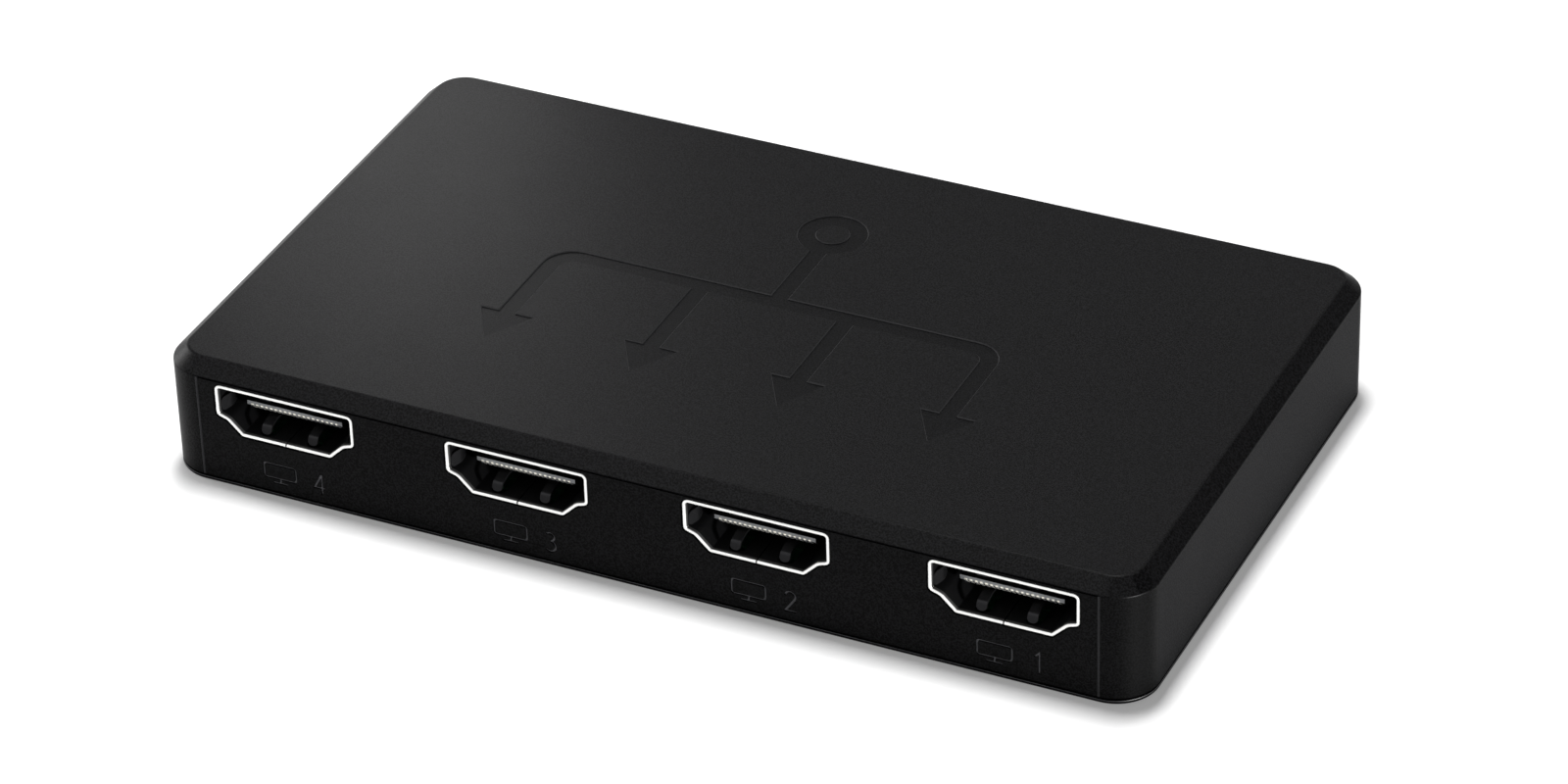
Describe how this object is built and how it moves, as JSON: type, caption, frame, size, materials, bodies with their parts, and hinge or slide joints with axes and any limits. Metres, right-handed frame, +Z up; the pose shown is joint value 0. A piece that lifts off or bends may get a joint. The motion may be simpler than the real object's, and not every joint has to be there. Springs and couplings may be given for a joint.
{
  "type": "video splitter",
  "caption": "Flat black desktop video splitter with a row of sockets on one long side, an input and a power socket on the other, and a full set of inner parts",
  "frame": {"origin": "middle of the flat underside", "axes": "+X along the long sides, with the output sockets facing -Y and the input facing +Y; +Z up"},
  "size_m": [0.1, 0.0586, 0.0131],
  "materials": {
    "cover_plastic": "fine moulded grain, black ABS",
    "plate_plastic": "fine moulded grain, black ABS",
    "board": "solder mask on glass epoxy",
    "screw_steel": "black oxide steel",
    "socket_steel": "nickel plated sheet",
    "insulator_plastic": "black glass filled nylon",
    "contact_metal": "plated spring alloy",
    "lead_metal": "tinned",
    "chip_plastic": "moulded epoxy",
    "tape": "filled silicone",
    "sink_aluminium": "extruded, satin",
    "can_metal": "drawn, satin",
    "ferrite": "pressed powder",
    "ceramic_body": "fired ceramic",
    "resistor_body": "thick film on ceramic",
    "lamp_plastic": "clear epoxy over a lamp chip",
    "clear_plastic": "clear polycarbonate"
  },
  "bodies": {
    "root": {"top_cover": "cover_plastic", "base_plate": "plate_plastic", "circuit_board": "board", "case_screws": "screw_steel", "power_socket_shell": "socket_steel", "power_socket_insulator": "insulator_plastic", "power_socket_contacts": "contact_metal", "splitter_chip_body": "chip_plastic", "splitter_chip_leads": "lead_metal", "thermal_tape": "tape", "heat_sink": "sink_aluminium", "memory_chip_body": "chip_plastic", "memory_chip_leads": "lead_metal", "crystal_can": "can_metal", "crystal_base": "chip_plastic", "regulator_body": "chip_plastic", "regulator_leads": "lead_metal", "inductor_core": "ferrite", "inductor_terminals": "lead_metal", "capacitor_cans": "can_metal", "capacitor_bases": "chip_plastic", "ceramic_capacitors": "ceramic_body", "resistors": "resistor_body", "surge_arrays": "chip_plastic", "indicator_lamp": "lamp_plastic", "light_pipe": "clear_plastic", "output_socket_1_shell": "socket_steel", "output_socket_1_insulator": "insulator_plastic", "output_socket_1_contacts": "contact_metal", "output_socket_2_shell": "socket_steel", "output_socket_2_insulator": "insulator_plastic", "output_socket_2_contacts": "contact_metal", "output_socket_3_shell": "socket_steel", "output_socket_3_insulator": "insulator_plastic", "output_socket_3_contacts": "contact_metal", "output_socket_4_shell": "socket_steel", "output_socket_4_insulator": "insulator_plastic", "output_socket_4_contacts": "contact_metal", "input_socket_shell": "socket_steel", "input_socket_insulator": "insulator_plastic", "input_socket_contacts": "contact_metal"}
  },
  "joints": []
}
